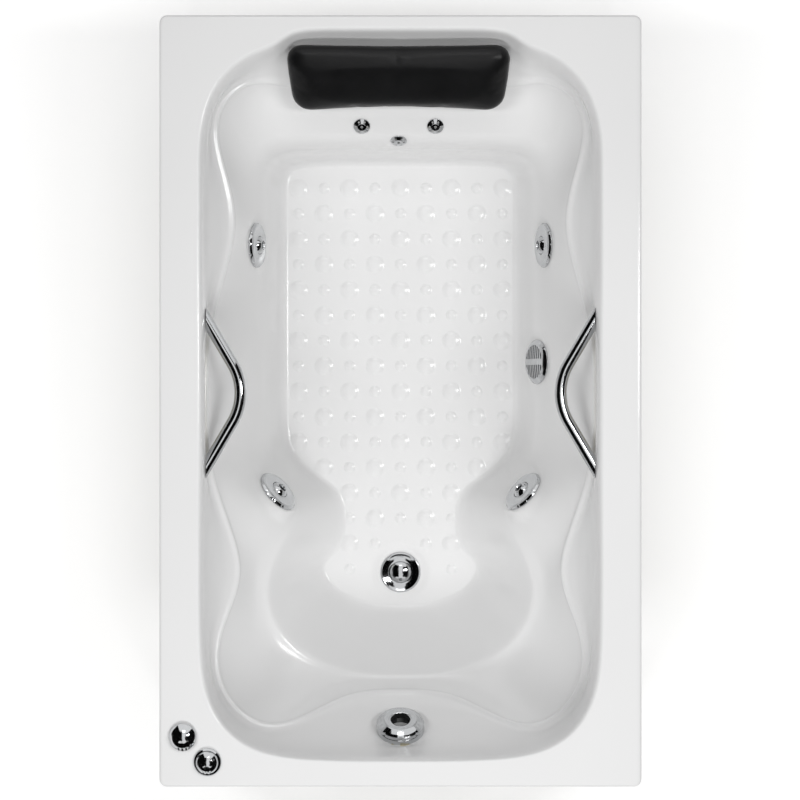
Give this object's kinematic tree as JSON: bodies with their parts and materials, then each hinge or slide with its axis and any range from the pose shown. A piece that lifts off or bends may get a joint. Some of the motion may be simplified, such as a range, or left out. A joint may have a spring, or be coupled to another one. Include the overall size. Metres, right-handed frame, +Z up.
{
  "type": "jetted bathtub",
  "caption": "Rectangular white drop-in jetted bath with a moulded basin, swivel jets, suction grille, two grab bars, head pillow, pop-up waste and a pump on a steel base frame",
  "frame": {"origin": "on the floor at the middle of the footprint", "axes": "+X to the bather's left lying with the head at +Y, +Y along the tub towards the pillow, +Z up"},
  "size_m": [1, 1.6, 0.583],
  "materials": {
    "white_acrylic": "gloss white acrylic over a glass-reinforced back",
    "white_plastic": "gloss white moulded plastic",
    "chromed_plastic": "bright chrome plate on moulded plastic",
    "chrome": "polished chrome plate",
    "black_foam": "black integral-skin polyurethane foam, fine leather grain",
    "black_rubber": "matt black rubber",
    "chipboard": "resin-sealed chipboard",
    "galvanised_steel": "galvanised box-section steel",
    "zinc_steel": "zinc-plated steel",
    "pipe_plastic": "off-white pressure pipe plastic",
    "hose_grey": "grey flexible hose",
    "cable_black": "black plastic",
    "motor_paint": "dark grey painted cast aluminium",
    "pump_black": "black glass-filled plastic",
    "shaft_steel": "ground stainless steel"
  },
  "bodies": {
    "tub": {"tub_shell": "white_acrylic", "base_board": "chipboard", "base_frame": "galvanised_steel", "rim_frame": "galvanised_steel", "foot_locknuts": "zinc_steel", "jet_collars": "white_plastic", "wall_gaskets": "black_rubber", "jet_backs": "pipe_plastic", "back_jet_bodies": "white_plastic", "back_jet_nuts": "pipe_plastic", "suction_cover": "chromed_plastic", "suction_collar": "white_plastic", "suction_back": "pipe_plastic", "drain_flange": "chrome", "drain_seal": "black_rubber", "waste_body": "pipe_plastic", "overflow_escutcheon": "chrome", "overflow_gasket": "black_rubber", "overflow_body": "cable_black", "overflow_pipe": "pipe_plastic", "waste_cable": "cable_black", "grab_bar_left": "chrome", "grab_bar_right": "chrome", "grab_bar_nuts": "zinc_steel", "deck_control_nuts": "pipe_plastic", "air_control_body": "chromed_plastic", "button_body": "chromed_plastic", "pillow": "black_foam", "pump_motor": "motor_paint", "pump_fan_cowl": "cable_black", "pump_wet_end": "pump_black", "pump_base": "pump_black", "pump_rubber_mounts": "black_rubber", "pressure_pipes": "pipe_plastic", "suction_pipe": "pipe_plastic", "air_tubes": "hose_grey", "button_tube": "hose_grey"},
    "ring_side_left": {"jet_ring_side_left": "chromed_plastic"},
    "nozzle_side_left": {"jet_nozzle_side_left": "chromed_plastic"},
    "ring_side_right": {"jet_ring_side_right": "chromed_plastic"},
    "nozzle_side_right": {"jet_nozzle_side_right": "chromed_plastic"},
    "ring_foot_left": {"jet_ring_foot_left": "chromed_plastic"},
    "nozzle_foot_left": {"jet_nozzle_foot_left": "chromed_plastic"},
    "ring_foot_right": {"jet_ring_foot_right": "chromed_plastic"},
    "nozzle_foot_right": {"jet_nozzle_foot_right": "chromed_plastic"},
    "back_jet_face_left": {"back_jet_face_left": "chromed_plastic"},
    "back_jet_face_middle": {"back_jet_face_middle": "chromed_plastic"},
    "back_jet_face_right": {"back_jet_face_right": "chromed_plastic"},
    "overflow_knob": {"overflow_knob": "chrome"},
    "drain_plug": {"drain_plug": "chrome", "plug_seal": "black_rubber"},
    "air_control_knob": {"air_control_knob": "chromed_plastic"},
    "button_cap": {"button_cap": "chromed_plastic"},
    "pump_rotor": {"pump_shaft": "shaft_steel", "pump_impeller": "pump_black", "pump_fan": "pump_black"},
    "levelling_foot_1": {"levelling_foot_1": "zinc_steel"},
    "levelling_foot_2": {"levelling_foot_2": "zinc_steel"},
    "levelling_foot_3": {"levelling_foot_3": "zinc_steel"},
    "levelling_foot_4": {"levelling_foot_4": "zinc_steel"}
  },
  "joints": [
    {"name": "jet_ring_side_left_turn", "type": "hinge", "parent": "tub", "child": "ring_side_left", "pos_m": [-0.315, 0.34, 0.28741], "axis": [0.9567, -0.0076, 0.2909], "range_deg": [-90, 90]},
    {"name": "jet_nozzle_side_left_tilt", "type": "hinge", "parent": "ring_side_left", "child": "nozzle_side_left", "pos_m": [-0.31691, 0.34002, 0.28683], "axis": [0.2909, 0, -0.9568], "range_deg": [-12, 12]},
    {"name": "jet_ring_side_right_turn", "type": "hinge", "parent": "tub", "child": "ring_side_right", "pos_m": [0.315, 0.34, 0.28741], "axis": [-0.9568, -0.0072, 0.2908], "range_deg": [-90, 90]},
    {"name": "jet_nozzle_side_right_tilt", "type": "hinge", "parent": "ring_side_right", "child": "nozzle_side_right", "pos_m": [0.31691, 0.34001, 0.28683], "axis": [0.2908, 0, 0.9568], "range_deg": [-12, 12]},
    {"name": "jet_ring_foot_left_turn", "type": "hinge", "parent": "tub", "child": "ring_foot_left", "pos_m": [-0.268, -0.198, 0.30685], "axis": [0.6893, 0.6032, 0.4012], "range_deg": [-90, 90]},
    {"name": "jet_nozzle_foot_left_tilt", "type": "hinge", "parent": "ring_foot_left", "child": "nozzle_foot_left", "pos_m": [-0.26938, -0.19921, 0.30605], "axis": [0.503, 0, -0.8643], "range_deg": [-12, 12]},
    {"name": "jet_ring_foot_right_turn", "type": "hinge", "parent": "tub", "child": "ring_foot_right", "pos_m": [0.268, -0.198, 0.30685], "axis": [-0.6883, 0.6046, 0.4008], "range_deg": [-90, 90]},
    {"name": "jet_nozzle_foot_right_tilt", "type": "hinge", "parent": "ring_foot_right", "child": "nozzle_foot_right", "pos_m": [0.26938, -0.19921, 0.30605], "axis": [0.5032, 0, 0.8642], "range_deg": [-12, 12]},
    {"name": "back_jet_left_turn", "type": "hinge", "parent": "tub", "child": "back_jet_face_left", "pos_m": [-0.083, 0.591, 0.37498], "axis": [-0.0016, -0.562, 0.8272], "range_deg": [-30, 30]},
    {"name": "back_jet_middle_turn", "type": "hinge", "parent": "tub", "child": "back_jet_face_middle", "pos_m": [-0.004, 0.563, 0.34664], "axis": [0, -0.8751, 0.4839], "range_deg": [-30, 30]},
    {"name": "back_jet_right_turn", "type": "hinge", "parent": "tub", "child": "back_jet_face_right", "pos_m": [0.075, 0.591, 0.37499], "axis": [0.0013, -0.5619, 0.8272], "range_deg": [-30, 30]},
    {"name": "overflow_knob_turn", "type": "hinge", "parent": "tub", "child": "overflow_knob", "pos_m": [0, -0.702, 0.40652], "axis": [-0.0005, 0.8431, 0.5377], "range_deg": [0, 80]},
    {"name": "drain_plug_lift", "type": "slide", "parent": "tub", "child": "drain_plug", "axis": [0, 0, 1], "range_m": [0, 0.01]},
    {"name": "air_control_turn", "type": "hinge", "parent": "tub", "child": "air_control_knob", "pos_m": [-0.451, -0.696, 0.56], "axis": [0, 0, 1], "range_deg": [-120, 120]},
    {"name": "button_press", "type": "slide", "parent": "tub", "child": "button_cap", "axis": [0, 0, -1], "range_m": [0, 0.004], "stiffness_N_per_m": 800, "springref_m": -0.002},
    {"name": "pump_rotor_spin", "type": "hinge", "parent": "tub", "child": "pump_rotor", "pos_m": [0, 0.708, 0.19], "axis": [1, 0, 0], "continuous": true},
    {"name": "levelling_foot_1_screw", "type": "slide", "parent": "tub", "child": "levelling_foot_1", "axis": [0, 0, -1], "range_m": [-0.008, 0.012]},
    {"name": "levelling_foot_2_screw", "type": "slide", "parent": "tub", "child": "levelling_foot_2", "axis": [0, 0, -1], "range_m": [-0.008, 0.012]},
    {"name": "levelling_foot_3_screw", "type": "slide", "parent": "tub", "child": "levelling_foot_3", "axis": [0, 0, -1], "range_m": [-0.008, 0.012]},
    {"name": "levelling_foot_4_screw", "type": "slide", "parent": "tub", "child": "levelling_foot_4", "axis": [0, 0, -1], "range_m": [-0.008, 0.012]}
  ],
  "couplings": [
    {"joint": "drain_plug_lift", "follows": "overflow_knob_turn", "m_per_rad": 0.007162}
  ]
}
